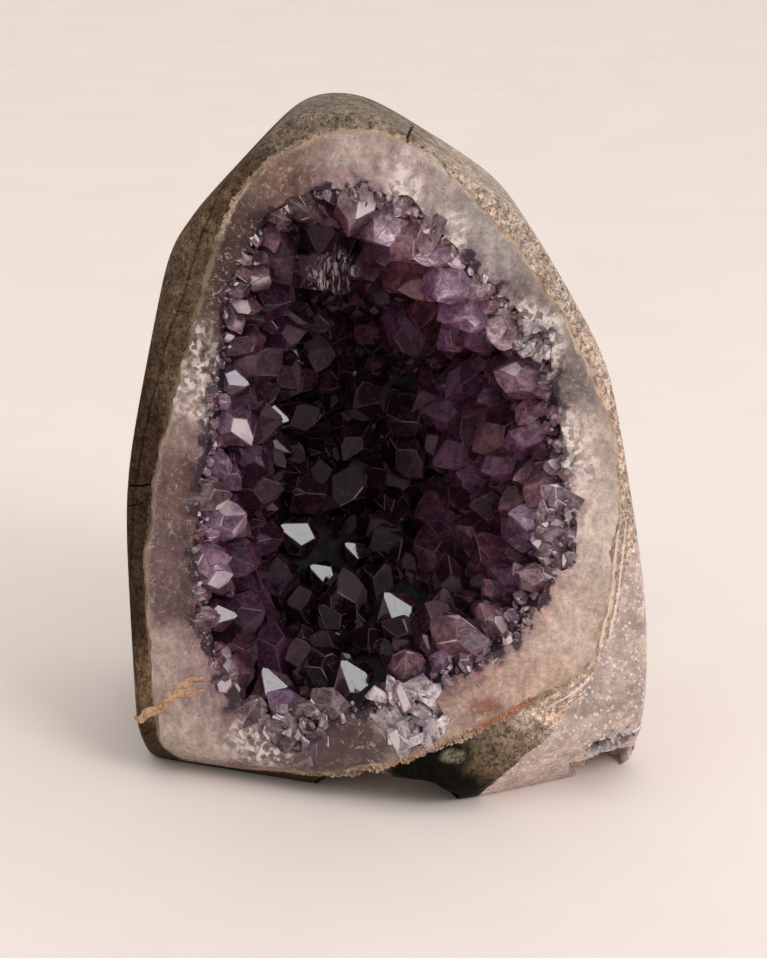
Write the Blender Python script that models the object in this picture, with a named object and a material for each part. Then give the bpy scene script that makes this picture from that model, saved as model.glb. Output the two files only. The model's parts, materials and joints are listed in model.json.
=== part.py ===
"""A standing amethyst geode, cut flat underneath and ground smooth in front.

Frame: metres, +Z up, front toward -Y, +X to the right of somebody facing the front, and the
origin under the middle of the flat base. Lengths below are in millimetres until a mesh is made.

A basalt rind holds a thin chalcedony seam, then a thick quartz lining, then the druse bed that the
amethyst points stand in. All of them are cut by one polished outer form. Every form is convex and
is described by flat facets seen from one centre, so a layer's wall is the same form, a little smaller.
"""

import math
from dataclasses import dataclass, replace

import bmesh
import bpy
import numpy as np
from mathutils import Matrix, Vector

MM = 0.001
NAME = "amethyst_geode"

# The middle of the base under the whole outline, from where the forms below are drawn
BASE_MIDDLE = (-0.28, 3.06, 0)

# Layers
GAP = 0.3  # clearance between neighbouring solids
SEAM_THICKNESS = 1.2
BED_THICKNESS = 6.0
BED_FLOOR = 0.8  # bed kept under a point's foot
LEAST_LINING = 2.6  # quartz kept between the seam and the druse bed

# Amethyst points
POINT_COUNT = 46
ROOT_DEPTH = 2.0  # how far a point's foot stands inside the bed
TIP_ANGLE = math.radians(51.8)  # quartz: a tip face's normal against the long axis
FACE_UNEVENNESS = 0.10  # every other tip face lies nearer, so it is larger
APOTHEM_RANGE = (3.4, 5.2)
SHOULDER_RANGE = (0.6, 2.6)
LARGEST_LEAN = math.radians(16)
LEAN_TO_LIGHT = 0.25  # how much a placed point's axis turns from the wall's normal toward GLINT
LATTICE_SIZE = 900  # directions tried for the points' feet
CLEAR_OF_FACE = 1.0  # a tip stays this far behind the polished face
SEED = 11

# The way that the brightest tip faces look: right, front and up
GLINT = Vector((0.29, -0.83, 0.47)).normalized()

# How finely the forms and the small scoop are divided
ICO_LEVEL = 4
NOTCH_ICO_LEVEL = 3


@dataclass(frozen=True)
class Form:
    """A convex form seen from its centre: flat facets that meet over a superellipsoid."""

    centre: tuple
    facets: tuple  # (azimuth from the front toward +X, elevation, reach), degrees and millimetres
    axes: tuple
    squareness: float = 3.0
    crispness: float = 18.0

    def normals(self):
        azimuth, elevation = np.radians(np.array(self.facets)[:, :2]).T
        level = np.cos(elevation)
        return np.stack([np.sin(azimuth) * level, -np.cos(azimuth) * level, np.sin(elevation)], axis=1)

    def value(self, points):
        """1 on the surface, less inside, more outside."""
        away = np.atleast_2d(points) - np.array(self.centre)
        reaches = np.array(self.facets)[:, 2]
        facets = (np.clip(away @ self.normals().T, 0, None) / reaches) ** self.crispness
        round_part = (np.abs(away / np.array(self.axes)) ** self.squareness).sum(axis=1)
        return (facets.sum(axis=1) + round_part ** (self.crispness / self.squareness)) ** (1 / self.crispness)

    def surface(self, directions):
        centre = np.array(self.centre)
        return centre + directions / self.value(centre + directions)[:, None]

    def outward(self, point, step=0.01):
        """The surface's outward normal at a point on it."""
        steps = step * np.eye(3)
        rise = self.value(point + steps) - self.value(point - steps)
        return Vector(rise).normalized()

    def grown(self, by):
        facets = tuple((azimuth, elevation, reach + by) for azimuth, elevation, reach in self.facets)
        return replace(self, facets=facets, axes=tuple(axis + by for axis in self.axes))

    def kept_inside(self, other):
        """This form, cut back by another form's facets."""
        shift = other.normals() @ (np.array(other.centre) - np.array(self.centre))
        moved = tuple((a, e, reach + by) for (a, e, reach), by in zip(other.facets, shift))
        return replace(self, facets=self.facets + moved)

    def mesh(self):
        """An icosphere whose points are moved onto the form."""
        bm = bmesh.new()
        bmesh.ops.create_icosphere(bm, subdivisions=ICO_LEVEL, radius=1)
        places = self.surface(np.array([vert.co.normalized() for vert in bm.verts]))
        for vert, place in zip(bm.verts, places):
            vert.co = Vector(place) * MM
        return bm


# The polished outside: front, back, sides up to the peak, and the rounded edge above the base
OUTSIDE = Form(
    centre=(0, 0, 62),
    facets=(
        (-16, 7, 33), (8, 8, 35.5), (180, 0, 47), (180, 36, 53), (150, 32, 55), (-150, 30, 57), (172, 60, 76),
        (-90, -2, 56.5), (-92, 12, 53), (-94, 43, 67.5), (-60, 86, 82.5),
        (94, 56, 62), (94, 30, 51.5), (92, 12, 47), (90, -4, 59),
        (56, -40, 76), (-75, -40, 92), (-20, -48, 70), (92, -42, 88), (0, -90, 64),
    ),
    axes=(62, 52, 125),
)

# Where the basalt ends inward. It runs out through the polished face and, at lower left, the base
SEAM = Form(
    centre=(0, 0, 62),
    facets=(
        (-98, 54, 68), (-98, 17, 45.5), (-98, 4, 46.6), (-98, -9, 52), (180, 73, 66.4), (172, 60, 67),
        (98, 47, 54.6), (98, 30, 46), (98, 14, 43.6), (98, -9, 41.6), (98, -42, 69), (98, -80, 52.5),
        (60, -60, 55.5), (0, 0, 70), (180, 0, 38), (180, 36, 45), (150, 32, 47), (-150, 30, 48), (180, -42, 47),
    ),
    axes=(74, 74, 130),
)

# Where the basalt ends outward at lower right, against a lobe of quartz
LOBE_LIMIT = Form(
    centre=(0, 0, 62),
    facets=(
        (73, -6.5, 55.5), (75, -42, 60.8),
        (0, 0, 90), (180, 0, 90), (-90, 0, 90), (0, 90, 110), (0, -90, 110),
    ),
    axes=(150, 150, 150),
)

# The open hollow between the roots of the points
HOLLOW = Form(
    centre=(-2, 0, 68),
    facets=(
        (-118, 34, 37), (-115, 6, 24), (-112, -30, 56), (180, 66, 44.3), (118, 40, 30.5), (115, 6, 22.5),
        (112, -28, 27.1), (120, -62, 31.8), (180, -82, 69), (-150, -64, 61.6), (0, 0, 70), (180, 0, 17),
        (180, 28, 24), (180, -35, 26),
    ),
    axes=(40, 60, 62),
    crispness=16.0,
)

SEAM_INSIDE = SEAM.grown(-GAP - SEAM_THICKNESS)
BED_OUTSIDE = HOLLOW.grown(BED_THICKNESS).kept_inside(SEAM_INSIDE.grown(-GAP - LEAST_LINING))

# The scoop in the basalt under the quartz lip: centre and half axes
NOTCH_CENTRE = (-3, -43, -2)
NOTCH_AXES = (17, 15, 11)

# The clay-filled crack at lower left: centre, length, depth and width, and its turns
VEIN_CENTRE = (-47.5, -23.5, 16.2)
VEIN_SIZE = (17, 6, 2.2)
VEIN_TURNS = (0, math.radians(-27), math.radians(-48))

# The points placed by hand, by the place of their feet on the hollow's wall:
# (x, z, apothem, whether one tip face looks along GLINT)
PLACED_POINTS = (
    (2.5, 52, 6.4, False),
    (12, 42, 4.8, False),
    (-25, 17, 4.6, True),
    (-8, 22.5, 4.8, True),
    (1, 31, 4.8, True),
    (-38, 33, 3.4, True),
    (-17, 68, 3.6, True),
    (-26, 71, 3.6, True),
    (-14, 33, 3.4, True),
    (-6.9, 37.5, 3.2, True),
    (-33, 84, 3.0, True),
    (24, 84, 3.6, True),
    (23.5, 72, 5.0, False),
    (-21.4, 55.7, 5.0, False),
    (-20.5, 41, 4.6, True),
    (20.4, 58, 4.6, False),
    (12.6, 106, 5.4, False),
    (-14.7, 110, 5.6, False),
    (-23.3, 92, 5.0, False),
    (-2, 87, 4.6, False),
)


def tip_height(apothem):
    return apothem * math.tan(TIP_ANGLE)


@dataclass(frozen=True)
class Point:
    """One amethyst point: where it stands, where it grows to, and its size."""

    foot: Vector
    axis: Vector
    side: Vector  # the way that its first tip face leans out
    apothem: float
    shoulder: float

    def frame(self):
        columns = (self.side, self.axis.cross(self.side), self.axis)
        turn = Matrix(columns).transposed().to_4x4()
        return Matrix.Translation(self.foot * MM) @ turn @ Matrix.Scale(MM, 4)

    def apex(self):
        return self.foot + self.axis * (self.shoulder + tip_height(self.apothem))

    def corners(self, height):
        """The prism's six corners at a height above the foot."""
        radius = self.apothem / math.cos(math.pi / 6)
        across = self.axis.cross(self.side)
        places = []
        for k in range(6):
            around = (k + 0.5) * math.pi / 3
            out = self.side * math.cos(around) + across * math.sin(around)
            places.append(self.foot + self.axis * height + out * radius)
        return np.array(places)

    def balls(self):
        """Balls along the axis that cover the point, for telling whether two points meet."""
        radius = self.apothem / math.cos(math.pi / 6)
        tip = tip_height(self.apothem)
        stem = [(h, radius) for h in np.linspace(-ROOT_DEPTH, self.shoulder, 4)]
        cone = [(self.shoulder + t * tip, radius * (1 - t)) for t in np.linspace(0.15, 1, 7)]
        return [(self.foot + self.axis * height, size) for height, size in stem + cone]

    def meets(self, other):
        return any(
            (a - b).length < ra + rb + 2 * GAP
            for a, ra in self.balls()
            for b, rb in other.balls()
        )

    def mesh(self, grown=0.0):
        """A six-sided prism with six tip faces cut on it, in the point's own frame."""
        radius = (self.apothem + grown) / math.cos(math.pi / 6)
        bottom = -ROOT_DEPTH - grown
        top = self.shoulder + 2 * tip_height(self.apothem)
        bm = bmesh.new()
        bmesh.ops.create_cone(
            bm, cap_ends=True, segments=6, radius1=radius, radius2=radius, depth=top - bottom,
            matrix=Matrix.Translation((0, 0, (top + bottom) / 2)) @ Matrix.Rotation(math.pi / 6, 4, "Z"),
        )
        for k in range(6):
            around = k * math.pi / 3
            out = Vector((math.cos(around) * math.sin(TIP_ANGLE), math.sin(around) * math.sin(TIP_ANGLE),
                          math.cos(TIP_ANGLE)))
            height = self.shoulder + tip_height(self.apothem) * (1 + FACE_UNEVENNESS * (k % 2))
            cut_away(bm, out * (height * math.cos(TIP_ANGLE) + grown), out)
        bm.transform(self.frame())
        return bm


def cut_away(bm, place, direction):
    """Cuts off what lies beyond a plane, and closes the cut with one face."""
    everything = bm.verts[:] + bm.edges[:] + bm.faces[:]
    bmesh.ops.bisect_plane(bm, geom=everything, plane_co=place, plane_no=direction, clear_outer=True)
    bmesh.ops.holes_fill(bm, edges=[edge for edge in bm.edges if edge.is_boundary], sides=0)
    bmesh.ops.recalc_face_normals(bm, faces=bm.faces[:])


def wall_foot(x, z):
    """The place on the hollow's wall that is straight behind a place in front of the geode."""
    near, far = -60.0, 40.0
    inside = [y for y in np.linspace(near, far, 201) if HOLLOW.value((x, y, z))[0] < 1]
    near = max(inside)
    while far - near > 0.01:
        middle = (near + far) / 2
        if HOLLOW.value((x, middle, z))[0] < 1:
            near = middle
        else:
            far = middle
    return Vector((x, near, z))


def leaning(inward, rng):
    """A direction near the wall's inward normal, leaning at random."""
    across = inward.orthogonal().normalized()
    across.rotate(Matrix.Rotation(rng.uniform(0, 2 * math.pi), 3, inward))
    return (inward + across * math.tan(LARGEST_LEAN) * math.sqrt(rng.uniform(0, 1))).normalized()


def square_to(direction, axis):
    """The part of a direction that is square to an axis."""
    return (direction - axis * direction.dot(axis)).normalized()


def placed_point(x, z, apothem, glints, rng):
    foot = wall_foot(x, z)
    inward = -HOLLOW.outward(np.array(foot))
    shoulder = rng.uniform(*SHOULDER_RANGE)
    if glints:
        away = square_to(inward, GLINT)
        axis = GLINT * math.cos(TIP_ANGLE) + away * math.sin(TIP_ANGLE)
        side = square_to(GLINT, axis)
    else:
        axis = (inward + GLINT * LEAN_TO_LIGHT).normalized()
        side = square_to(Vector((0, 0, 1)), axis)
    return Point(foot, axis, side, apothem, shoulder)


def lattice_point(k, rng):
    """A point whose foot is the k-th of evenly spread directions from the hollow's centre."""
    height = 1 - (2 * k + 1) / LATTICE_SIZE
    around = math.pi * (1 + math.sqrt(5)) * k
    level = math.sqrt(1 - height * height)
    direction = np.array([[math.cos(around) * level, math.sin(around) * level, height]])
    foot = HOLLOW.surface(direction)[0]
    inward = -HOLLOW.outward(foot)
    axis = leaning(inward, rng)
    side = square_to(Vector((rng.uniform(-1, 1), rng.uniform(-1, 1), rng.uniform(-1, 1))), axis)
    return Point(Vector(foot), axis, side, rng.uniform(*APOTHEM_RANGE), rng.uniform(*SHOULDER_RANGE))


def stands_in_hollow(point):
    """Whether a point stays behind the polished face and its foot stays inside the bed."""
    tip = np.vstack([point.corners(point.shoulder), point.apex()])
    behind_face = OUTSIDE.grown(-CLEAR_OF_FACE).value(tip).max() < 1
    foot_in_bed = BED_OUTSIDE.grown(-BED_FLOOR).value(point.corners(-ROOT_DEPTH)).max() < 1
    return behind_face and foot_in_bed and HOLLOW.value(point.apex())[0] < 1


def amethyst_points():
    """The points placed by hand, then others wherever there is room, in a shuffled order."""
    rng = np.random.default_rng(SEED)
    points = []
    wanted = [placed_point(x, z, apothem, glints, rng) for x, z, apothem, glints in PLACED_POINTS]
    wanted += [lattice_point(int(k), rng) for k in rng.permutation(LATTICE_SIZE)]
    for point in wanted:
        if len(points) < POINT_COUNT and stands_in_hollow(point):
            if not any(point.meets(other) for other in points):
                points.append(point)
    return points


def material(name, colour, roughness, transmission=0.0):
    made = bpy.data.materials.new(name)
    made.use_nodes = True
    shader = made.node_tree.nodes["Principled BSDF"]
    shader.inputs["Base Color"].default_value = (*colour, 1)
    shader.inputs["Roughness"].default_value = roughness
    shader.inputs["Metallic"].default_value = 0
    shader.inputs["Transmission Weight"].default_value = transmission
    made.diffuse_color = (*colour, 1)
    return made


def clear_scene():
    for old in list(bpy.data.objects):
        bpy.data.objects.remove(old, do_unlink=True)


def new_collection(name, shown=True):
    made = bpy.data.collections.new(name)
    made.hide_render = not shown
    bpy.context.scene.collection.children.link(made)
    return made


def add(name, bm, collection, finish=None):
    """Makes an object of a bmesh, in the geode's own frame. Without a finish it is a cutter."""
    bm.transform(Matrix.Translation(-Vector(BASE_MIDDLE) * MM))
    mesh = bpy.data.meshes.new(name)
    bm.to_mesh(mesh)
    bm.free()
    made = bpy.data.objects.new(name, mesh)
    collection.objects.link(made)
    if finish:
        mesh.materials.append(finish)
    else:
        made.hide_render = True
        made.display_type = "WIRE"
    return made


def shape_layer(name, finish, kept_inside, removed, solver, cutters, collection):
    """One layer of the stone: the cut stone, kept inside one cutter, less some others."""
    layer = add(name, cut_stone(), collection, finish)
    cuts = [("INTERSECT", cutter) for cutter in kept_inside] + [("DIFFERENCE", cutter) for cutter in removed]
    for operation, cutter in cuts:
        modifier = layer.modifiers.new(cutter, "BOOLEAN")
        modifier.operation = operation
        modifier.solver = solver
        modifier.object = cutters[cutter]


def cut_stone():
    """The whole polished stone: the outside form, sawn flat underneath."""
    bm = OUTSIDE.mesh()
    cut_away(bm, Vector((0, 0, 0)), Vector((0, 0, -1)))
    bmesh.ops.triangulate(bm, faces=bm.faces[:])
    return bm


def notch_mesh():
    bm = bmesh.new()
    bmesh.ops.create_icosphere(bm, subdivisions=NOTCH_ICO_LEVEL, radius=1)
    place = Matrix.Translation(Vector(NOTCH_CENTRE) * MM)
    bm.transform(place @ Matrix.Diagonal((*(Vector(NOTCH_AXES) * MM), 1)))
    return bm


def vein_mesh(grown=0.0):
    bm = bmesh.new()
    bmesh.ops.create_cube(bm, size=1)
    turn_x, turn_y, turn_z = (Matrix.Rotation(angle, 4, axis) for angle, axis in zip(VEIN_TURNS, "XYZ"))
    size = (Vector(VEIN_SIZE) + Vector((2 * grown,) * 3)) * MM
    place = Matrix.Translation(Vector(VEIN_CENTRE) * MM) @ turn_z @ turn_y @ turn_x
    bm.transform(place @ Matrix.Diagonal((*size, 1)))
    return bm


def joined(meshes):
    """One bmesh of several that don't touch."""
    whole = bmesh.new()
    for bm in meshes:
        part = bpy.data.meshes.new("part")
        bm.to_mesh(part)
        bm.free()
        whole.from_mesh(part)
        bpy.data.meshes.remove(part)
    return whole


def main():
    clear_scene()
    pieces = new_collection(NAME)
    cutter_collection = new_collection("cutters", shown=False)

    basalt = material("basalt", (0.06, 0.045, 0.035), 0.35)
    chalcedony = material("chalcedony", (0.62, 0.47, 0.36), 0.45)
    quartz = material("quartz", (0.42, 0.33, 0.30), 0.25, transmission=0.2)
    amethyst = material("amethyst", (0.09, 0.035, 0.11), 0.12, transmission=0.4)
    druse = material("druse", (0.12, 0.06, 0.12), 0.3, transmission=0.2)
    clay = material("clay", (0.55, 0.34, 0.21), 0.8)

    points = amethyst_points()
    shapes = {
        "seam_form": SEAM.mesh(),
        "seam_outside": SEAM.grown(-GAP).mesh(),
        "seam_inside": SEAM_INSIDE.mesh(),
        "lining_outside": SEAM_INSIDE.grown(-GAP).mesh(),
        "lining_inside": BED_OUTSIDE.grown(GAP).mesh(),
        "bed_outside": BED_OUTSIDE.mesh(),
        "hollow": HOLLOW.mesh(),
        "basalt_limit": LOBE_LIMIT.mesh(),
        "lobe_limit": LOBE_LIMIT.grown(GAP).mesh(),
        "notch": notch_mesh(),
        "vein_bar": vein_mesh(),
        "vein_groove": vein_mesh(GAP),
        "sockets": joined(point.mesh(GAP) for point in points),
    }
    cutters = {name: add(name, bm, cutter_collection) for name, bm in shapes.items()}

    # Name, finish, the cutter it is kept inside, the cutters taken out of it, and the solver that closes it
    layers = (
        ("basalt_rind", basalt, ["basalt_limit"], ["seam_form", "notch", "vein_groove"], "MANIFOLD"),
        ("chalcedony_seam", chalcedony, ["seam_outside"], ["seam_inside", "vein_groove"], "EXACT"),
        ("quartz_lining", quartz, ["lining_outside"], ["lining_inside", "vein_groove"], "MANIFOLD"),
        ("side_quartz", quartz, [], ["lobe_limit"], "EXACT"),
        ("clay_vein", clay, ["vein_bar"], [], "EXACT"),
        ("druse_bed", druse, ["bed_outside"], ["hollow", "sockets"], "EXACT"),
    )
    for layer in layers:
        shape_layer(*layer, cutters, pieces)

    for number, point in enumerate(points, start=1):
        add(f"amethyst_point_{number:02d}", point.mesh(), pieces, amethyst)


main()
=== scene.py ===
"""A standing amethyst geode, sawn flat underneath and ground smooth in front.

Frame: metres, +Z up, front toward -Y, +X to the right of somebody facing the front, origin under the
middle of the base. Sizes and places below are in millimetres until a mesh is made of them.

A basalt shell holds a thin cream agate seam, then milky and smoky quartz, then a carpet of amethyst
crystals round an open hollow. A lobe of granular quartz closes the lower right side.
"""

import json
import logging
import math
from dataclasses import dataclass, field, replace
from enum import Enum
from typing import Callable, Iterable, Optional, Sequence, Union

import bmesh
import bpy
import numpy as np
from mathutils import Matrix, Vector, noise

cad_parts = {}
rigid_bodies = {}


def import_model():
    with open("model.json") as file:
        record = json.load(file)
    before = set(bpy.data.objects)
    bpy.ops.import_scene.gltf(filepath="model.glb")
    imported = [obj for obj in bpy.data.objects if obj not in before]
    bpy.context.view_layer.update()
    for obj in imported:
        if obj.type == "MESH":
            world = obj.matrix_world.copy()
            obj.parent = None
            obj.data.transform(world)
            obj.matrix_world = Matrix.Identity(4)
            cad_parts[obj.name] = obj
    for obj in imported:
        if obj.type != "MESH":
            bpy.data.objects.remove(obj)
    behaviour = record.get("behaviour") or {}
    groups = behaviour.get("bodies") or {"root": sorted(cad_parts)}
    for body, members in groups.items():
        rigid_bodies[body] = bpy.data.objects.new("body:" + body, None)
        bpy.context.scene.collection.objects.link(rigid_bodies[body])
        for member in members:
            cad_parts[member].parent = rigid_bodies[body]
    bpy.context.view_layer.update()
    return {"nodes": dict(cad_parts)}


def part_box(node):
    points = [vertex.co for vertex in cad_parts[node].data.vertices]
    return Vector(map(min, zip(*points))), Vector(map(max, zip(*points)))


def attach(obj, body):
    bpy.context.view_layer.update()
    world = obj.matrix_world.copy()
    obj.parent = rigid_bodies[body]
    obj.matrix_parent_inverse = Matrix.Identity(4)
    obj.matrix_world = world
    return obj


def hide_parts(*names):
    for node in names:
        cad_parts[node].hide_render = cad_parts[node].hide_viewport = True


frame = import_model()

log = logging.getLogger("geode")

MM = 0.001
BODY = "root"

Mesh, Object, Material, BMesh = bpy.types.Mesh, bpy.types.Object, bpy.types.Material, bmesh.types.BMesh
Triple = tuple[float, float, float]
Socket = bpy.types.NodeSocket
Value = Union[Socket, float, Sequence[float]]


def srgb(red: int, green: int, blue: int) -> Triple:
    """The linear colour of an 8-bit display colour."""
    return tuple(((c / 255 + 0.055) / 1.055) ** 2.4 if c > 10 else c / 3295 for c in (red, green, blue))


def last_within(near: float, far: float, tolerance: float, within: Callable[[float], bool]) -> float:
    """The last value from near to far that is within, found by halving the way between them."""
    while abs(far - near) > tolerance:
        middle = (near + far) / 2
        if within(middle):
            near = middle
        else:
            far = middle
    return near


# ---------------------------------------------------------------- forms

FORM_REACH = 120.0  # farther from its centre than any form goes


@dataclass(frozen=True)
class Form:
    """A convex form seen from its centre: flat facets that meet over a superellipsoid."""

    centre: Triple
    facets: tuple  # (azimuth from the front toward +X, elevation, reach), degrees and millimetres
    axes: Triple
    squareness: float = 3.0
    crispness: float = 18.0

    def normals(self) -> np.ndarray:
        """The facets' outward normals, one a row."""
        azimuth, elevation = np.radians(np.array(self.facets)[:, :2]).T
        level = np.cos(elevation)
        return np.stack([np.sin(azimuth) * level, -np.cos(azimuth) * level, np.sin(elevation)], axis=1)

    def value(self, points: np.ndarray) -> np.ndarray:
        """1 on the surface, less inside, more outside."""
        away = np.atleast_2d(points) - np.array(self.centre)
        reaches = np.array(self.facets)[:, 2]
        facets = (np.clip(away @ self.normals().T, 0, None) / reaches) ** self.crispness
        round_part = (np.abs(away / np.array(self.axes)) ** self.squareness).sum(axis=1)
        whole = facets.sum(axis=1) + round_part ** (self.crispness / self.squareness)
        return whole ** (1 / self.crispness)

    def depth(self, points: np.ndarray) -> np.ndarray:
        """How far inside the surface each point is, in millimetres along its ray from the centre."""
        away = np.linalg.norm(points - np.array(self.centre), axis=1)
        value = np.maximum(self.value(points), 1e-6)
        return away * (1 / value - 1)

    def surface(self, directions: np.ndarray) -> np.ndarray:
        """Where rays from the centre meet the surface."""
        centre = np.array(self.centre)
        return centre + directions / self.value(centre + directions)[:, None]

    def outward(self, point: Sequence[float], step: float = 0.01) -> Vector:
        """The surface's outward normal at a point on it."""
        steps = step * np.eye(3)
        rise = self.value(np.array(point) + steps) - self.value(np.array(point) - steps)
        return Vector(rise).normalized()

    def grown(self, by: float) -> "Form":
        """The same form with every facet moved out."""
        facets = tuple((azimuth, elevation, reach + by) for azimuth, elevation, reach in self.facets)
        return replace(self, facets=facets, axes=tuple(axis + by for axis in self.axes))

    def front(self, x: float, z: float) -> Vector:
        """The place on the front of the surface at a width and a height."""
        middle = self.centre[1]
        y = last_within(middle, middle - FORM_REACH, 0.01,
                        lambda at: self.value(np.array((x, at, z)))[0] <= 1)
        return Vector((x, y, z))


MIDDLE = (0.28, -3.06, 62)

# The ground outside: front, back, sides up to the peak, and the rounded edge above the base
OUTSIDE = Form(
    centre=MIDDLE,
    facets=(
        (-16, 7, 32.6), (8, 8, 35),
        (180, 0, 46.4), (180, 36, 52.2), (150, 32, 54), (-150, 30, 56), (172, 60, 74.5),
        (-90, -2, 55), (-92, 12, 53.3), (-94, 43, 66.2), (-60, 86, 79),
        (94, 56, 62.2), (94, 30, 50.6), (92, 10, 47.3), (90, -1, 53.7),
        (26, -40, 69.4), (-75, -40, 90), (-20, -48, 67), (92, -42, 90), (0, -90, 64),
    ),
    axes=(61, 51.4, 121),
    crispness=38.0,
)

# Where the basalt ends inward
SEAM = Form(
    centre=MIDDLE,
    facets=(
        (-98, 54, 68), (-98, 17, 45.5), (-98, 4, 46.6), (-98, -9, 52), (180, 73, 66.4), (172, 60, 67),
        (98, 47, 54.6), (98, 30, 46), (98, 14, 43.6), (98, -9, 41.6), (98, -42, 69), (98, -80, 52.5),
        (60, -60, 55.5), (0, 0, 70),
        (180, 0, 38), (180, 36, 45), (150, 32, 47), (-150, 30, 48), (180, -42, 47),
    ),
    axes=(74, 74, 130),
)

# Where the basalt ends outward at lower right, against the side lobe
LOBE_LIMIT = Form(
    centre=MIDDLE,
    facets=(
        (73, -6.5, 55.5), (75, -42, 60.8),
        (0, 0, 90), (180, 0, 90), (-90, 0, 90), (0, 90, 110), (0, -90, 110),
    ),
    axes=(150, 150, 150),
)

# The open hollow between the roots of the crystals
HOLLOW = Form(
    centre=(-1.72, -3.06, 68),
    facets=(
        (-118, 34, 37), (-115, 6, 24), (-112, -30, 56), (180, 66, 44.3), (118, 40, 30.5), (115, 6, 22.5),
        (112, -28, 27.1), (120, -62, 31.8), (180, -82, 69), (-150, -64, 61.6), (0, 0, 70), (180, 0, 17),
        (180, 28, 24), (180, -35, 26),
    ),
    axes=(40, 60, 62),
    crispness=16.0,
)


@dataclass(frozen=True)
class Ripple:
    """Unevenness laid over a surface: its height and its breadth, and where its pattern starts."""

    height: float
    breadth: float
    start: float = 0.0

    def heights(self, points: np.ndarray) -> np.ndarray:
        """The height at each point, either side of nothing."""
        shift = Vector((self.start, -self.start, 0.7 * self.start))
        return self.height * np.array([noise.noise(Vector(p) / self.breadth + shift) for p in points])


def form_mesh(form: Form, ripples: Iterable[Ripple] = (), detail: int = 7) -> BMesh:
    """An icosphere whose points are moved onto the form and then rippled.

    Args:
        form: The form that the points are moved onto.
        ripples: Unevenness added along the rays from the form's centre.
        detail: How often the icosphere is divided.

    Returns:
        A closed bmesh in metres.
    """
    bm = bmesh.new()
    bmesh.ops.create_icosphere(bm, subdivisions=detail, radius=1)
    rays = np.array([vert.co.normalized() for vert in bm.verts])
    places = form.surface(rays)
    lift = sum((ripple.heights(places) for ripple in ripples), np.zeros(len(places)))
    places = places + rays * lift[:, None]
    for vert, place in zip(bm.verts, places):
        vert.co = Vector(place) * MM
    return bm


def rough_ball(centre: Sequence[float], axes: Triple, ripples: Iterable[Ripple], detail: int) -> BMesh:
    """A rough ellipsoid, for cutting.

    Args:
        centre: Its middle.
        axes: Its half sizes.
        ripples: Its unevenness, as shares of its size.
        detail: How often the icosphere is divided.

    Returns:
        A closed bmesh in metres.
    """
    bm = bmesh.new()
    bmesh.ops.create_icosphere(bm, subdivisions=detail, radius=1)
    rays = np.array([vert.co for vert in bm.verts])
    lifts = sum((ripple.heights(rays) for ripple in ripples), np.zeros(len(rays)))
    for vert, lift in zip(bm.verts, lifts):
        reach = vert.co * (1 + lift)
        vert.co = (Vector(centre) + Vector(r * axis for r, axis in zip(reach, axes))) * MM
    return bm


# ---------------------------------------------------------------- meshes


def object_of(name: str, shape: Union[BMesh, Mesh]) -> Object:
    """An object at the origin, made of a bmesh or a mesh and linked to the scene."""
    mesh = shape
    if isinstance(shape, BMesh):
        mesh = bpy.data.meshes.new(name)
        shape.to_mesh(mesh)
        shape.free()
    mesh.name = name
    made = bpy.data.objects.new(name, mesh)
    bpy.context.scene.collection.objects.link(made)
    return made


def baked(name: str, source: Object) -> Object:
    """A plain mesh object of what a source's modifiers make. The source is removed."""
    graph = bpy.context.evaluated_depsgraph_get()
    mesh = bpy.data.meshes.new_from_object(source.evaluated_get(graph))
    bpy.data.objects.remove(source, do_unlink=True)
    return object_of(name, mesh)


def carved(name: str, stone: BMesh, cuts: Sequence[tuple[str, Object]]) -> Object:
    """A mesh cut by others.

    Args:
        name: The new object's name.
        stone: What is cut.
        cuts: Each cutter with the operation, INTERSECT or DIFFERENCE.

    Returns:
        The object that is left, with no modifiers.
    """
    whole = object_of(name + "_stock", stone)
    for number, (operation, cutter) in enumerate(cuts):
        modifier = whole.modifiers.new(f"cut_{number}", "BOOLEAN")
        modifier.operation = operation
        modifier.solver = "MANIFOLD"
        modifier.object = cutter
    return baked(name, whole)


def points_of(mesh: Mesh) -> np.ndarray:
    """The mesh's points in millimetres, one a row."""
    flat = np.empty(len(mesh.vertices) * 3, np.float32)
    mesh.vertices.foreach_get("co", flat)
    return flat.reshape(-1, 3).astype(float) / MM


def move_points(mesh: Mesh, places: np.ndarray) -> None:
    """Moves the mesh's points to places in millimetres."""
    mesh.vertices.foreach_set("co", (places * MM).astype(np.float32).ravel())
    mesh.update()


def store(mesh: Mesh, name: str, values: np.ndarray, domain: str = "POINT") -> None:
    """Keeps one number for each point or face of a mesh, for its finish to read."""
    if name in mesh.attributes:
        mesh.attributes.remove(mesh.attributes[name])
    layer = mesh.attributes.new(name, "FLOAT", domain)
    layer.data.foreach_set("value", values.astype(np.float32))


def ready(mesh: Mesh, coverage: Union[float, np.ndarray], growth: Union[float, np.ndarray] = 1) -> None:
    """Keeps where crystals grow on a mesh, and how large they grow there."""
    for name, values in (("coverage", coverage), ("growth", growth)):
        store(mesh, name, values * np.ones(len(mesh.vertices)))


def shade(mesh: Mesh, sharp_above: float) -> None:
    """Smooth shading, but for edges that turn by more than an angle in degrees."""
    mesh.polygons.foreach_set("use_smooth", np.ones(len(mesh.polygons), dtype=bool))
    mesh.set_sharp_from_angle(angle=math.radians(sharp_above))


def settle(piece: Object, finish: Material, nodes: Sequence[str] = ()) -> None:
    """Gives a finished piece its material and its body.

    Args:
        piece: The piece, in place.
        finish: Its material.
        nodes: The CAD nodes that it stands for.
    """
    piece.data.materials.clear()
    piece.data.materials.append(finish)
    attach(piece, BODY)
    if nodes:
        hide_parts(*nodes)
    log.info("%s: %d faces", piece.name, len(piece.data.polygons))


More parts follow.
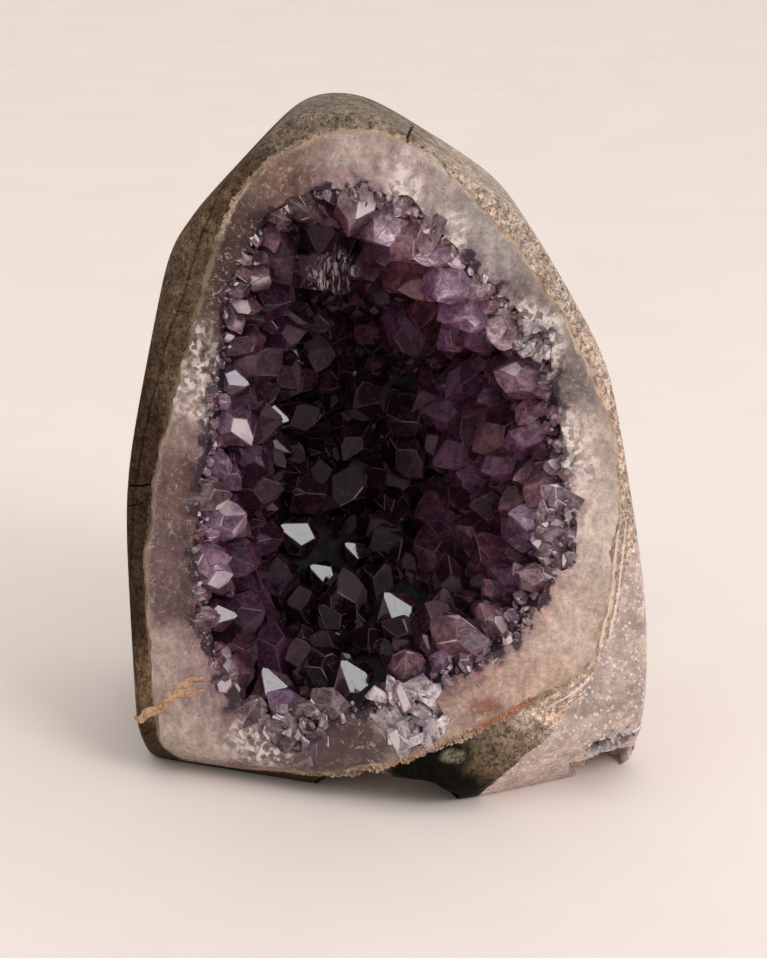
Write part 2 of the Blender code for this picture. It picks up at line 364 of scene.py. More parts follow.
def cut_plane(bm: BMesh, place: Vector, direction: Vector) -> None:
    """Cuts off what lies beyond a plane, and closes the cut with one face."""
    everything = bm.verts[:] + bm.edges[:] + bm.faces[:]
    bmesh.ops.bisect_plane(bm, geom=everything, plane_co=place, plane_no=direction, clear_outer=True)
    bmesh.ops.holes_fill(bm, edges=[edge for edge in bm.edges if edge.is_boundary], sides=0)
    bmesh.ops.recalc_face_normals(bm, faces=bm.faces[:])


def cut_stone() -> BMesh:
    """The whole ground stone, sawn flat underneath."""
    bm = form_mesh(OUTSIDE)
    cut_plane(bm, Vector((0, 0, 0)), Vector((0, 0, -1)))
    bmesh.ops.triangulate(bm, faces=bm.faces[:])
    return bm


# ---------------------------------------------------------------- node trees


class Tree:
    """Adds nodes to a node tree, and feeds them sockets or plain values."""

    def __init__(self, tree: bpy.types.NodeTree) -> None:
        """Starts on a tree."""
        self.tree = tree

    def add(self, kind: str, inputs: Optional[dict] = None, **settings) -> bpy.types.Node:
        """One node.

        Args:
            kind: The node's type.
            inputs: Values or sockets by input name or number.
            **settings: The node's own settings.

        Returns:
            The node.
        """
        made = self.tree.nodes.new(kind)
        for name, value in settings.items():
            setattr(made, name, value)
        for name, value in (inputs or {}).items():
            if isinstance(name, int):
                socket = made.inputs[name]
            else:
                socket = next(s for s in made.inputs if s.name == name and s.enabled)
            self.feed(socket, value)
        return made

    def feed(self, socket: Socket, value: Value) -> None:
        """Sets an input, or links it to an output."""
        if isinstance(value, bpy.types.NodeSocket):
            self.tree.links.new(value, socket)
        else:
            socket.default_value = value

    def out(self, kind: str, inputs: Optional[dict] = None, **settings) -> Socket:
        """The first output in use of a new node."""
        made = self.add(kind, inputs, **settings)
        return next(s for s in made.outputs if s.enabled)

    def maths(self, operation: str, a: Value, b: Value = 0.0) -> Socket:
        """A sum done with one or two numbers."""
        return self.out("ShaderNodeMath", {0: a, 1: b}, operation=operation)

    def times(self, a: Value, b: Value) -> Socket:
        """Two numbers multiplied."""
        return self.maths("MULTIPLY", a, b)

    def plus(self, a: Value, b: Value) -> Socket:
        """Two numbers added."""
        return self.maths("ADD", a, b)

    def apart(self, a: Value, b: Value) -> Socket:
        """How far apart two numbers are."""
        return self.maths("ABSOLUTE", self.maths("SUBTRACT", a, b))

    def chance(self, least: Value, most: Value, seed: int, kind: str = "FLOAT") -> Socket:
        """A chance number, or a vector of them, for each thing that is grown."""
        limits = {"Min": least, "Max": most, "Seed": seed}
        return self.out("FunctionNodeRandomValue", limits, data_type=kind)


NOISE_RANGE = (0.3, 0.7)  # where nearly all of a noise pattern lies


class Shader(Tree):
    """A material in the making. Its patterns are sized in millimetres of the piece's own space."""

    def __init__(self, name: str) -> None:
        """Starts a new material with its surface shader."""
        self.material = bpy.data.materials.new(name)
        self.material.use_nodes = True
        super().__init__(self.material.node_tree)
        self.surface = self.tree.nodes["Principled BSDF"]
        self.place = self.scaled(self.add("ShaderNodeTexCoord").outputs["Object"], 1 / MM)

    def noise(self, size: float, detail: float = 3.0, distortion: float = 0.0, shift: float = 0.0,
              stretch: Triple = (1, 1, 1)) -> Socket:
        """Cloudy variation, about 0.5 on average.

        Args:
            size: The breadth of its patches.
            detail: How many finer layers it has.
            distortion: How much it swirls.
            shift: Where its pattern starts.
            stretch: Its length along each axis.
        """
        place = self.out("ShaderNodeMapping", {
            "Vector": self.place,
            "Location": (shift, shift, shift),
            "Scale": tuple(1 / (size * s) for s in stretch),
        })
        return self.out("ShaderNodeTexNoise", {
            "Vector": place, "Scale": 1.0, "Detail": detail, "Roughness": 0.6, "Distortion": distortion,
        })

    def cells(self, size: float, feature: str = "F1", output: str = "Distance",
              wobble: float = 0.0) -> Socket:
        """A pattern of grains.

        Args:
            size: A grain's breadth.
            feature: What is measured, such as F1 or DISTANCE_TO_EDGE.
            output: Distance, or Color for one value a grain.
            wobble: How far the grains' walls wander.
        """
        place = self.scaled(self.place, 1 / size)
        if wobble:
            bend = self.add("ShaderNodeTexNoise", {"Vector": place, "Scale": 0.8, "Detail": 3.0})
            bend = self.scaled(bend.outputs["Color"], wobble)
            place = self.out("ShaderNodeVectorMath", {0: place, 1: bend}, operation="ADD")
        made = self.add("ShaderNodeTexVoronoi", {"Vector": place, "Scale": 1.0}, feature=feature)
        return made.outputs[output]

    def stored(self, name: str) -> Socket:
        """A number kept on the mesh."""
        return self.add("ShaderNodeAttribute", attribute_name=name).outputs["Fac"]

    def ramp(self, value: Value, low: float, high: float, least: float = 0.0, most: float = 1.0) -> Socket:
        """A smooth change from least to most as a value goes from low to high."""
        return self.out("ShaderNodeMapRange", {
            "Value": value, "From Min": low, "From Max": high, "To Min": least, "To Max": most,
        }, interpolation_type="SMOOTHSTEP")

    def spread(self, cloud: Socket, least: float, most: float) -> Socket:
        """Noise spread over a range."""
        return self.ramp(cloud, *NOISE_RANGE, least, most)

    def clouds(self, least: float, most: float, size: float, detail: float, **pattern: Value) -> Socket:
        """Cloudy variation over a range. The rest is as for noise."""
        return self.spread(self.noise(size, detail, **pattern), least, most)

    def mix(self, factor: Value, a: Value, b: Value, blend: str = "MIX") -> Socket:
        """A blend of two colours."""
        colours = [(*c, 1) if isinstance(c, tuple) and len(c) == 3 else c for c in (a, b)]
        return self.out("ShaderNodeMix", {"Factor": factor, "A": colours[0], "B": colours[1]},
                        data_type="RGBA", blend_type=blend)

    def scaled(self, colour: Value, *factors: Value) -> Socket:
        """A colour made lighter or darker by each factor in turn."""
        for factor in factors:
            colour = self.out("ShaderNodeVectorMath", {0: colour, "Scale": factor}, operation="SCALE")
        return colour

    def near(self, centre: Triple, reach: Triple, ragged: Value) -> Socket:
        """1 round a place, and 0 beyond a reach with a ragged edge.

        Args:
            centre: The place.
            reach: Its half sizes.
            ragged: A noise that wears the edge.
        """
        away = self.out("ShaderNodeVectorMath", {0: self.place, 1: centre}, operation="SUBTRACT")
        away = self.out("ShaderNodeVectorMath", {0: away, 1: reach}, operation="DIVIDE")
        length = self.add("ShaderNodeVectorMath", {0: away}, operation="LENGTH").outputs["Value"]
        return self.ramp(self.maths("ADD", length, ragged), 2.0, 1.0)

    def finish(self, colour: Socket, roughness: Value, bump: Optional[Socket] = None,
               bump_height: float = 0.1, **constants: float) -> Material:
        """Joins the patterns to the surface shader.

        Args:
            colour: The base colour.
            roughness: A number or a pattern.
            bump: A height pattern.
            bump_height: What a height of 1 stands for.
            **constants: Other inputs of the shader by name, with _ for a space.

        Returns:
            The finished material.
        """
        values = {"Base_Color": colour, "Roughness": roughness, **constants}
        if bump is not None:
            relief = {"Height": bump, "Distance": bump_height * MM, "Strength": 1.0}
            values["Normal"] = self.out("ShaderNodeBump", relief)
        for name, value in values.items():
            self.feed(self.surface.inputs[name.replace("_", " ")], value)
        return self.material


# ---------------------------------------------------------------- finishes

QUARTZ_IOR = 1.54


@dataclass(frozen=True)
class Tint:
    """A patch of another display colour in a stone: its place, its half sizes and its colour."""

    centre: Triple
    reach: Triple
    colour: Triple
    strength: float = 1.0


def tinted(shader: Shader, colour: Value, tints: Sequence[Tint], ragged: Socket) -> Socket:
    """A colour with patches laid over it in order."""
    for tint in tints:
        factor = shader.times(shader.near(tint.centre, tint.reach, ragged), tint.strength)
        colour = shader.mix(factor, colour, srgb(*tint.colour))
    return colour


@dataclass(frozen=True)
class BasaltFinish:
    """Semi-gloss ground basalt: dark olive brown at left and pale greyish tan at right, which is painted
    shade on the left and painted light from the lamp at right.
    """

    # dark is painted shade on the left side, pale is painted light on the right side
    dark: Triple = srgb(60, 44, 32)
    pale: Triple = srgb(168, 150, 136)
    tints: tuple = (
        # a paler patch on the top: painted light from above
        Tint((-8, -20, 138), (16, 30, 9), (124, 110, 97)),
        Tint((-38, -20, 108), (12, 30, 22), (96, 79, 63), 0.8),
        Tint((-52, -20, 21), (8, 20, 7), (104, 82, 64)),
        Tint((-52, -20, 8), (10, 20, 5), (64, 48, 35)),
        # the next two patches are pale tan: painted light from the lamp at right
        Tint((46, -25, 66), (8, 30, 28), (184, 162, 146)),
        Tint((40, -35, 24), (12, 14, 22), (200, 172, 155)),
        # a near-black patch: painted shade in the recess under the quartz lip
        Tint((10, -43, 8), (13, 12, 12), (14, 11, 5)),
        Tint((25, -42, 13), (7, 10, 6), (112, 94, 76), 0.8),
        Tint((13, -43, 13), (2, 6, 1.2), (104, 100, 84)),
        Tint((2.5, -43, 5), (3, 6, 2.5), (120, 106, 92), 0.7),
    )

    def build(self) -> Material:
        """Makes the material."""
        shader = Shader("ground_basalt")
        cloud = shader.noise(9, 4)
        ragged = shader.spread(cloud, 0, 0.6)
        # darker at left and paler at right: painted shade and painted light from the lamp at right
        x = shader.add("ShaderNodeSeparateXYZ", {0: shader.place}).outputs["X"]
        across = shader.plus(x, shader.spread(cloud, -5, 5))
        colour = shader.mix(shader.ramp(across, -14, 16), self.dark, self.pale)
        colour = tinted(shader, colour, self.tints, ragged)
        away = shader.times(shader.stored("seam_depth"), -1)
        wander = shader.plus(away, shader.clouds(-0.3, 0.3, 9, 1, shift=3))
        crust = shader.ramp(shader.plus(away, shader.clouds(0, 1.0, 1.6, 3)), 1.3, 0.3)
        crust = shader.times(crust, shader.ramp(x, -40, -22, 0.15, 0.6))
        colour = shader.mix(crust, colour, srgb(176, 142, 112))
        grain = shader.noise(0.42, 2, shift=9)
        speck = shader.cells(0.75, output="Color")
        speck = shader.plus(shader.ramp(speck, 0.2, 0.8, 0.68, 1.32), shader.spread(grain, -0.4, 0.4))
        patchy = shader.clouds(0.72, 1.28, 3.2, 4, shift=5)
        pits = shader.ramp(shader.cells(1.9, wobble=0.6), 0.08, 0.16)
        # a darker line that runs along the dark side
        off = shader.apart(wander, 4.4)
        line = shader.times(shader.ramp(off, 0.5, 0.1), shader.ramp(x, -25, -35))
        scratches = shader.clouds(0.85, 1.15, 0.5, 3, shift=13, stretch=(1, 1, 9))
        colour = shader.scaled(colour, shader.times(speck, patchy), shader.ramp(pits, 0, 1, 0.6, 1.0),
                               shader.ramp(line, 0, 1, 1.0, 0.5), scratches)
        # agate lines that run beside the seam at lower right
        lower_right = shader.near((42, -30, 36), (9, 20, 20), ragged)
        for place, width, line in ((0.4, 0.5, srgb(222, 204, 188)), (1.5, 0.25, srgb(164, 134, 116)),
                                   (2.3, 0.3, srgb(232, 217, 206)), (3.1, 0.22, srgb(170, 142, 126))):
            off = shader.apart(wander, place)
            band = shader.times(shader.ramp(off, width, width * 0.35), lower_right)
            colour = shader.mix(band, colour, line)
        rough = shader.spread(grain, 0.6, 0.8)
        return shader.finish(colour, rough, shader.plus(pits, grain), 0.12, Specular_IOR_Level=0.06)


@dataclass(frozen=True)
class SeamFinish:
    """The waxy cream agate between basalt and quartz."""

    name: str = "cream_agate"
    cream: Triple = srgb(190, 166, 144)
    tan: Triple = srgb(132, 106, 88)

    def build(self) -> Material:
        """Makes the material."""
        shader = Shader(self.name)
        cloud = shader.noise(4.5, 4)
        colour = shader.mix(shader.ramp(cloud, 0.38, 0.62), self.tan, self.cream)
        ragged = shader.spread(cloud, 0, 0.6)
        colour = tinted(shader, colour, (
            Tint((-44, -24, 56), (14, 20, 57), (108, 88, 74), 0.92),
            Tint((-10, -26, 132), (12, 20, 6), (176, 152, 136), 0.7),
            Tint((22, -42, 21), (7, 8, 4), (170, 112, 88)),
            Tint((4, -43, 14), (10, 8, 6), (168, 132, 106), 0.8),
        ), ragged)
        grain = shader.noise(0.7, 3)
        colour = shader.scaled(colour, shader.spread(grain, 0.78, 1.2))
        return shader.finish(colour, shader.spread(grain, 0.4, 0.65), grain, 0.15,
                             Subsurface_Weight=0.15, Subsurface_Scale=0.001)


@dataclass(frozen=True)
class QuartzFinish:
    """Polished quartz: smoky at upper left, milky grey at right, peach low down with painted light as if the
    lamp at right shone through the thin side, lilac at the hollow, and painted shade deep between the
    crystals.
    """

    body: Triple = srgb(150, 128, 122)
    lilac: Triple = (0.72, 0.6, 0.68)  # what the stone near the hollow is multiplied by
    purple: Triple = srgb(50, 32, 44)
    deep_shade: Triple = srgb(16, 9, 13)  # painted shade: the wall deep between the crystals made near-black
    shattered: tuple = (
        ((2.6, -28, 123), (3.0, 40, 8)), ((2.6, -28, 121), (3.6, 40, 6)), ((12, -29, 116), (2.5, 40, 5)),
        ((28, -30, 97), (6, 40, 5)), ((-40, -25, 86), (7, 40, 8)), ((36, -34, 72), (5, 40, 7)),
        ((-27, -36, 11), (6, 40, 5)),
    )  # places full of white fractures, with their half sizes
    tints: tuple = (
        Tint((-36, -22, 98), (13, 40, 19), (82, 62, 52)),
        Tint((-27, -23, 116), (9, 40, 9), (78, 58, 50)),
        Tint((-18, -24, 126), (9, 40, 6), (126, 100, 88)),
        Tint((-5, -27, 127), (8, 40, 7), (176, 158, 150)),
        Tint((-10, -26, 121), (5, 40, 4), (186, 160, 152), 0.8),
        Tint((15, -28, 115), (13, 40, 10), (157, 146, 141)),
        Tint((33, -30, 90), (10, 40, 14), (123, 111, 106)),
        Tint((41, -32, 70), (9, 40, 10), (178, 158, 146)),
        # the next three patches, low at right, are pale peach: painted light, as if the lamp at right shone
        # through the thin side
        Tint((41, -34, 54), (10, 40, 10), (200, 182, 170)),
        Tint((38, -38, 37), (14, 40, 10), (194, 170, 156)),
        Tint((28, -40, 27), (9, 40, 5), (186, 156, 140)),
        Tint((12, -42, 22), (9, 40, 6), (166, 138, 126)),
        Tint((-12, -41, 12), (14, 40, 6), (88, 68, 66)),
        Tint((-28, -35, 12), (8, 40, 8), (92, 70, 70)),
        Tint((-41, -31, 11), (8, 40, 8), (176, 156, 147)),
        Tint((-45, -28, 27), (7, 40, 8), (172, 150, 142)),
        Tint((-45, -26, 48), (7, 40, 11), (106, 82, 80)),
        Tint((-44, -25, 64), (6, 40, 7), (104, 80, 72)),
        Tint((-40, -24, 80), (8, 40, 6), (154, 132, 122), 0.8),
        Tint((20, -42, 23), (3.5, 20, 1.6), (148, 94, 74), 0.8),
    )

    def build(self) -> Material:
        """Makes the material."""
        shader = Shader("polished_quartz")
        cloud = shader.noise(7, 4, distortion=0.4)
        ragged = shader.spread(cloud, 0, 0.7)
        colour = tinted(shader, self.body, self.tints, ragged)
        # cloudy depth, then finer mottling, streaks, grain and pits
        mottle = shader.noise(1.1, 5, shift=7)
        pits = shader.ramp(shader.cells(1.5, wobble=0.8), 0.07, 0.13, 0.45, 1.0)
        # short dark cracks, in some places only
        dash = shader.ramp(shader.noise(0.55, 2, distortion=0.5, shift=61, stretch=(2.6, 1, 1)), 0.66, 0.72)
        dash = shader.times(dash, shader.ramp(shader.noise(9, 2, shift=63), 0.42, 0.55))
        colour = shader.scaled(
            colour,
            shader.clouds(0.76, 1.24, 5, 5, distortion=0.8, shift=4),
            shader.spread(mottle, 0.87, 1.13),
            shader.clouds(0.88, 1.12, 1.6, 4, distortion=0.6, shift=23, stretch=(1, 1, 3)),
            shader.clouds(0.86, 1.14, 0.3, 2, shift=35),
            pits,
            shader.ramp(dash, 0, 1, 1.0, 0.45),
        )
        # thin white threads
        thread = shader.apart(shader.noise(5, 3, distortion=0.6, shift=71), 0.5)
        thread = shader.times(shader.ramp(thread, 0.012, 0.003), shader.ramp(mottle, 0.42, 0.6, 0, 0.4))
        colour = shader.mix(thread, colour, srgb(222, 206, 196))
        gap = shader.stored("hollow_gap")
        edge = shader.plus(gap, shader.clouds(-3.0, 3.0, 3.5, 3, shift=2))
        lilac = shader.mix(1.0, colour, self.lilac, "MULTIPLY")
        colour = shader.mix(shader.ramp(edge, 9.0, 1.5), colour, lilac)
        colour = shader.mix(shader.ramp(edge, 2.2, -0.6), colour, self.purple)
        # white veils of healed fractures, strongest round the hollow
        near_hollow = shader.ramp(gap, 12.0, 3.0, 0.3, 1.0)
        veil = shader.ramp(shader.noise(2.6, 5, distortion=2.2, shift=21), 0.60, 0.72, 0, 0.55)
        colour = shader.mix(shader.times(veil, near_hollow), colour, srgb(212, 196, 190))
        # white shattered streaks in a few places
        shards = shader.ramp(shader.cells(1.2, output="Color", wobble=0.9), 0.25, 0.7, 0.15, 0.95)
        shards = shader.times(shards, shader.ramp(shader.noise(1.8, 5, shift=27), 0.35, 0.55, 0.15, 1.0))
        for centre, reach in self.shattered:
            where = shader.times(shader.near(centre, reach, ragged), shards)
            colour = shader.mix(where, colour, srgb(228, 213, 206))
        grains = shader.ramp(shader.cells(0.7), 0.2, 0.08)
        sparse = shader.ramp(shader.noise(3, 2, shift=15), 0.46, 0.6, 0, 0.75)
        colour = shader.mix(shader.times(grains, sparse), colour, srgb(226, 212, 204))
        # near-black painted shade on the wall deep between the crystals
        colour = shader.mix(shader.ramp(shader.stored("face_depth"), 1.5, 4.5), colour, self.deep_shade)
        # the last millimetre before the seam turns cream
        rim = shader.plus(shader.stored("seam_depth"), shader.spread(mottle, -0.6, 0.6))
        colour = shader.mix(shader.ramp(rim, 1.5, 0.7, 0, 0.35), colour, srgb(182, 158, 138))
        rough = shader.ramp(mottle, 0.35, 0.7, 0.24, 0.42)
        rough = shader.plus(rough, shader.ramp(shader.stored("face_depth"), 1.5, 4.5, 0, 0.5))
        return shader.finish(colour, rough, mottle, 0.05, Subsurface_Weight=0.2, Subsurface_Scale=0.002,
                             IOR=QUARTZ_IOR, Specular_IOR_Level=0.35)


class Shade(Enum):
    """How pale a run of crystals is: its deep, middle and rim colours."""

    AMETHYST = (srgb(54, 32, 43), srgb(104, 76, 90), srgb(130, 108, 113))
    PALE = (srgb(96, 72, 88), srgb(142, 118, 130), srgb(186, 167, 166))
    MILKY = (srgb(128, 108, 104), srgb(168, 150, 144), srgb(206, 190, 182))


@dataclass(frozen=True)
class Glow:
    """A part of the hollow where the crystals let through more or less light."""

    centre: Triple
    reach: Triple
    strength: float


GLOWS = (
    Glow((24, -6, 76), (17, 60, 30), 2.0),
    Glow((12, -20, 108), (18, 60, 16), 2.0),
    Glow((7, -24, 112), (7, 60, 10), 1.7),
    Glow((-30, -14, 100), (16, 60, 20), 0.7),
    Glow((-10, -8, 34), (9, 60, 12), 0.3),
    Glow((-7, 0, 62), (13, 60, 20), 0.35),
    Glow((-38, -14, 50), (10, 60, 30), 1.5),
)


@dataclass(frozen=True)
class CrystalFinish:
    """Glossy crystal: dark and purple deep inside, where the darkness is partly painted shade, lilac and
    then white at the ground rim.
    """

    name: str
    shade: Shade = Shade.AMETHYST
    contrast: float = 1.0  # how much faces and crystals differ
    gloss: float = 0.16
    reach: float = 19.0  # how deep behind the ground face the crystals are darkest, with painted shade
    glows: tuple = ()

    def build(self) -> Material:
        """Makes the material."""
        shader = Shader(self.name)
        deep, middle, pale = self.shade.value
        depth = shader.stored("face_depth")
        stray = min(3.5, 0.3 * self.reach)
        uneven = shader.plus(depth, shader.clouds(-stray, stray, 5, 3))
        # darker with depth behind the ground face: painted shade of the hollow over the crystals' own deep
        # purple
        colour = shader.mix(shader.ramp(uneven, self.reach, 0.3 * self.reach), deep, middle)
        # browner crystals among the violet ones, and more light within in some places
        hue = shader.ramp(shader.stored("tone"), 0.25, 0.75)
        hue = shader.mix(hue, (1.12, 0.97, 0.86), (0.96, 0.94, 1.16))
        colour = shader.mix(1.0, colour, hue, "MULTIPLY")
        edge = shader.clouds(0, 0.6, 9, 2, shift=33)
        for glow in self.glows:
            inside = shader.near(glow.centre, glow.reach, edge)
            colour = shader.scaled(colour, shader.ramp(inside, 0, 1, 1.0, glow.strength))
        colour = shader.mix(shader.ramp(uneven, 0.27 * self.reach, -1.0), colour, pale)
        # each face and each crystal catches the light within differently
        spread = 0.52 * self.contrast
        facet = shader.ramp(shader.stored("facet"), 0, 1, 1 - spread, 1 + spread)
        tone = shader.ramp(shader.stored("tone"), 0, 1, 1 - spread / 2, 1 + spread / 2)
        colour = shader.scaled(colour, shader.times(facet, tone))
        glow = shader.clouds(0.5, 1.5, 2.2, 4, distortion=1.0, shift=6)
        fine = shader.clouds(0.72, 1.28, 0.6, 4, shift=36)
        colour = shader.scaled(colour, shader.times(glow, fine))
        # the lighter a crystal is, the greyer
        light = shader.out("ShaderNodeRGBToBW", {0: colour})
        grey = shader.scaled((1.07, 0.96, 1.0), light)
        colour = shader.mix(shader.ramp(light, 0.06, 0.32, 0, 0.7), colour, grey)
        bright = shader.mix(shader.ramp(uneven, 15, 2), middle, pale)
        veil = shader.ramp(shader.noise(1.2, 5, distortion=2.5, shift=12), 0.60, 0.74, 0, 0.45)
        colour = shader.mix(veil, colour, bright)
        # a painted highlight on the narrow faces of the bevelled edges, stronger near the rim
        worn = shader.times(shader.stored("worn"), shader.ramp(uneven, 16, 4, 0.35, 0.7))
        colour = shader.mix(worn, colour, bright)
        # one crystal near the top is full of white streaks
        streak = shader.ramp(shader.noise(0.8, 4, distortion=0.8, shift=51, stretch=(1, 1, 4)), 0.52, 0.60)
        streak = shader.times(streak, shader.near((-11.5, -10, 103), (3.4, 60, 4.6), edge))
        colour = shader.mix(streak, colour, srgb(214, 204, 208))
        glint = shader.ramp(shader.stored("facet"), 0.90, 0.91, 0, 0.85)
        glint = shader.times(glint, shader.ramp(uneven, 14, 2, 0.08, 1.0))
        colour = shader.mix(glint, colour, srgb(214, 200, 205))
        spark = shader.ramp(shader.cells(1.1), 0.14, 0.05)
        spark = shader.times(spark, shader.ramp(shader.noise(5, 2, shift=41), 0.52, 0.62, 0, 0.8))
        colour = shader.mix(spark, colour, pale)
        flaw = shader.ramp(shader.cells(2.1, "DISTANCE_TO_EDGE", wobble=1.8), 0.03, 0.008, 0, 0.3)
        flaw = shader.times(flaw, shader.ramp(shader.noise(4, 2, shift=17), 0.5, 0.65))
        colour = shader.mix(flaw, colour, pale)
        rough = shader.ramp(shader.noise(1.1, 3, shift=8), 0.4, 0.75, 0.035, 0.2)
        return shader.finish(colour, rough, shader.noise(1.6, 3, shift=19), 0.015, IOR=QUARTZ_IOR,
                             Specular_IOR_Level=self.gloss, Subsurface_Weight=0.15, Subsurface_Scale=0.002)


@dataclass(frozen=True)
class GrainyQuartzFinish:
    """The side lobe: fine pinkish grey grains run together."""

    grey: Triple = srgb(168, 147, 139)
    pink: Triple = srgb(206, 184, 174)

    def build(self) -> Material:
        """Makes the material."""
        shader = Shader("grainy_quartz")
        cloud = shader.noise(6, 4)
        colour = shader.mix(shader.ramp(cloud, 0.35, 0.65), self.grey, self.pink)
        grain = shader.cells(1.1, output="Color", wobble=0.7)
        colour = shader.scaled(colour, shader.ramp(grain, 0.1, 0.9, 0.84, 1.14))
        walls = shader.ramp(shader.cells(1.1, "DISTANCE_TO_EDGE", wobble=0.7), 0.0, 0.12, 0.86, 1.0)
        colour = shader.scaled(colour, shader.clouds(0.88, 1.12, 2.2, 5, shift=3))
        crumbs = shader.ramp(shader.cells(1.0), 0.4, 0.2)
        crumbs = shader.times(crumbs, shader.ramp(shader.noise(2.4, 3, shift=11), 0.38, 0.55, 0, 0.95))
        colour = shader.mix(crumbs, colour, srgb(236, 222, 214))
        colour = shader.scaled(colour, walls, shader.clouds(0.9, 1.1, 0.5, 2))
        rough = shader.ramp(grain, 0.2, 0.8, 0.22, 0.5)
        return shader.finish(colour, rough, walls, 0.12, IOR=QUARTZ_IOR, Subsurface_Weight=0.3,
                             Subsurface_Scale=0.002)


@dataclass(frozen=True)
class ClayFinish:
    """Dry tan clay that fills a crack."""

    tan: Triple = srgb(206, 166, 134)
    brown: Triple = srgb(150, 112, 84)

    def build(self) -> Material:
        """Makes the material."""
        shader = Shader("tan_clay")
        grain = shader.noise(0.9, 5)
        colour = shader.mix(shader.ramp(grain, 0.35, 0.6), self.brown, self.tan)
        return shader.finish(colour, 0.85, grain, 0.3)


# ---------------------------------------------------------------- crystals

TIP_ANGLE = math.radians(51.8)  # quartz: a tip face's normal against the long axis
CORNER = 1.155  # a hexagon's reach at its corners, when its flats are 1 from the middle
SHARD_CUTS = 9  # corners struck off a broken chip
BASE_GAP = 0.05  # how far small pieces stay above the sawn base


@dataclass(frozen=True)
class CrystalShape:
    """A six-sided point with a flat-to-centre size of 1, standing on its foot along +Z."""

    stem: float = 0.9
    root: float = 1.2
    edge: float = 0.0  # width of the bevelled edges, whose narrow faces get a painted highlight
    unevenness: float = 0.22

    def mesh(self, rng: np.random.Generator) -> BMesh:
        """One crystal, its tip faces uneven by chance."""
        tip = math.tan(TIP_ANGLE)
        top = self.stem + 2 * tip
        bm = bmesh.new()
        bmesh.ops.create_cone(
            bm, cap_ends=True, segments=6, radius1=CORNER, radius2=CORNER * rng.uniform(0.86, 1.0),
            depth=top + self.root, matrix=Matrix.Translation((0, 0, (top - self.root) / 2)),
        )
        turned = rng.integers(0, 2)
        for k in range(6):
            around = (k + 0.5) * math.pi / 3
            lean = TIP_ANGLE + rng.uniform(-0.05, 0.05)
            level = math.sin(lean)
            out = Vector((math.cos(around) * level, math.sin(around) * level, math.cos(lean)))
            height = self.stem + tip * (1 + self.unevenness * ((k + turned) % 2) + rng.uniform(-0.1, 0.1))
            cut_plane(bm, out * (height * math.cos(lean)), out)
        squash = Matrix.Diagonal((rng.uniform(0.8, 1.1), rng.uniform(0.85, 1.15), 1, 1))
        bm.transform(squash)
        if self.edge:
            bmesh.ops.bevel(bm, geom=bm.edges[:], offset=self.edge, segments=1, affect="EDGES",
                            clamp_overlap=True)
        bmesh.ops.recalc_face_normals(bm, faces=bm.faces[:])
        bm.transform(Matrix.Scale(MM, 4))
        return bm


@dataclass(frozen=True)
class ShardShape:
    """A broken chip: a block with its corners struck off."""

    flatness: float = 0.7

    def mesh(self, rng: np.random.Generator) -> BMesh:
        """One chip, about 2 across."""
        bm = bmesh.new()
        bmesh.ops.create_cube(bm, size=2)
        for _ in range(SHARD_CUTS):
            out = Vector(rng.normal(size=3)).normalized()
            cut_plane(bm, out * rng.uniform(0.55, 0.95), out)
        bm.transform(Matrix.Diagonal((1, rng.uniform(0.6, 1.0), self.flatness, 1)))
        bmesh.ops.recalc_face_normals(bm, faces=bm.faces[:])
        bm.transform(Matrix.Scale(MM, 4))
        return bm


GROWTH_INPUTS = {
    "Geometry": "Geometry", "Spacing": "Float", "Density": "Float", "Least Size": "Float",
    "Largest Size": "Float", "Lean": "Float", "Seed": "Int", "Shapes": "Collection", "Finish": "Material",
}


